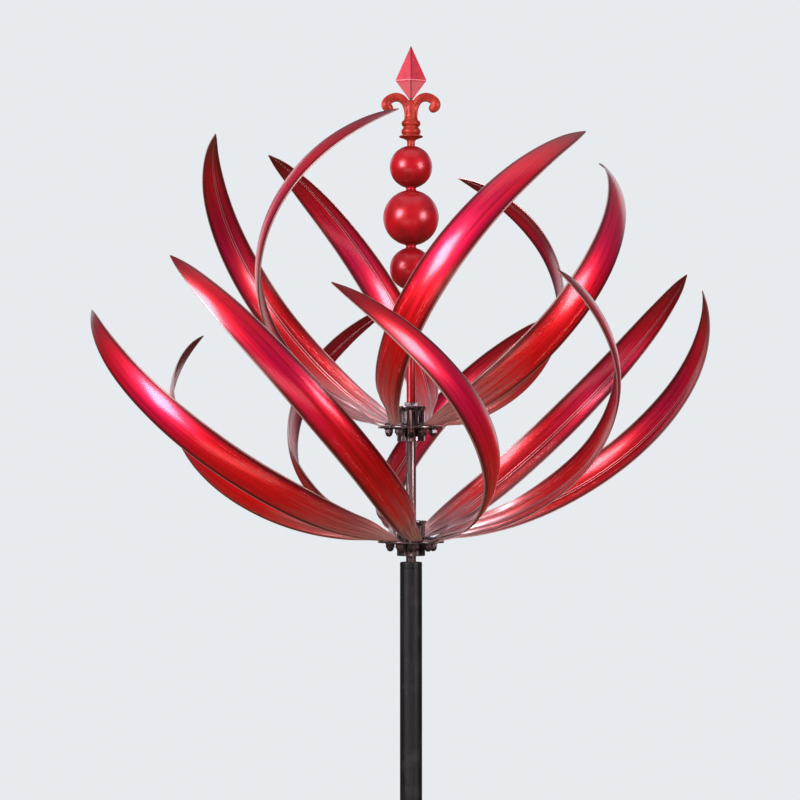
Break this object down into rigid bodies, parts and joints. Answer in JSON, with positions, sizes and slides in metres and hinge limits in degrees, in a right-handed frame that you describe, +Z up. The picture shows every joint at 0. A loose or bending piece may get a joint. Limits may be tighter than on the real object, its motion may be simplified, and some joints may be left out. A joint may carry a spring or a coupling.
{
  "type": "kinetic wind sculpture",
  "caption": "Garden wind sculpture: two bowls of curved petals spin opposite ways on bearings round a fixed shaft, with a ball-stack finial, a sectional pole and a pronged ground stake",
  "frame": {"origin": "on the pole's axis at ground level, on the underside of the stake's step plate", "axes": "+Z up along the pole and the spin axis; +X to the right and +Y away as the sculpture is seen from the front"},
  "size_m": [0.6049, 0.6139, 2.134],
  "materials": {
    "petal_red": "metallic candy red, glossy",
    "ball_red": "glossy red",
    "finial_red": "orange-red paint on a casting, satin",
    "pole_black": "black powder coat, satin",
    "hub_black": "black paint, glossy",
    "bearing_steel": "bright steel",
    "hardware_dark": "dark bronze-black plated steel"
  },
  "bodies": {
    "stand": {"ball_collars": "ball_red", "bearing_balls": "bearing_steel", "bearing_inner_races": "bearing_steel", "finial_base": "finial_red", "finial_diamond": "finial_red", "finial_rod": "ball_red", "finial_scrolls": "finial_red", "hub_inner_spacers": "hardware_dark", "lower_ball": "ball_red", "middle_ball": "ball_red", "middle_spacer": "hardware_dark", "neck_spacer": "hardware_dark", "pole_cap": "pole_black", "pole_couplers": "pole_black", "pole_lower": "pole_black", "pole_middle": "pole_black", "pole_screws": "hardware_dark", "pole_upper": "pole_black", "shaft": "bearing_steel", "shaft_lock_nut": "hardware_dark", "stake_prongs": "pole_black", "stake_socket": "pole_black", "stake_thumb_screw": "pole_black", "step_plate": "pole_black", "top_ball": "ball_red"},
    "lower_rotor": {"lower_bearing_shields": "bearing_steel", "lower_hub_grub_screw": "hardware_dark", "lower_hub_plate": "hub_black", "lower_hub_tube": "hub_black", "lower_outer_races": "bearing_steel", "lower_petal_1": "petal_red", "lower_petal_2": "petal_red", "lower_petal_3": "petal_red", "lower_petal_4": "petal_red", "lower_petal_5": "petal_red", "lower_petal_6": "petal_red", "lower_petal_7": "petal_red", "lower_petal_8": "petal_red", "lower_petal_9": "petal_red", "lower_petal_bolts": "hardware_dark", "lower_petal_nuts": "hardware_dark", "lower_petal_washers": "hardware_dark"},
    "upper_rotor": {"upper_bearing_shields": "bearing_steel", "upper_hub_grub_screw": "hardware_dark", "upper_hub_plate": "hub_black", "upper_hub_tube": "hub_black", "upper_outer_races": "bearing_steel", "upper_petal_1": "petal_red", "upper_petal_2": "petal_red", "upper_petal_3": "petal_red", "upper_petal_4": "petal_red", "upper_petal_5": "petal_red", "upper_petal_6": "petal_red", "upper_petal_bolts": "hardware_dark", "upper_petal_nuts": "hardware_dark", "upper_petal_washers": "hardware_dark"}
  },
  "joints": [
    {"name": "lower_rotor_spin", "type": "hinge", "parent": "stand", "child": "lower_rotor", "pos_m": [0, 0, 1.409], "axis": [0, 0, 1], "continuous": true},
    {"name": "upper_rotor_spin", "type": "hinge", "parent": "stand", "child": "upper_rotor", "pos_m": [0, 0, 1.523], "axis": [0, 0, 1], "continuous": true}
  ]
}
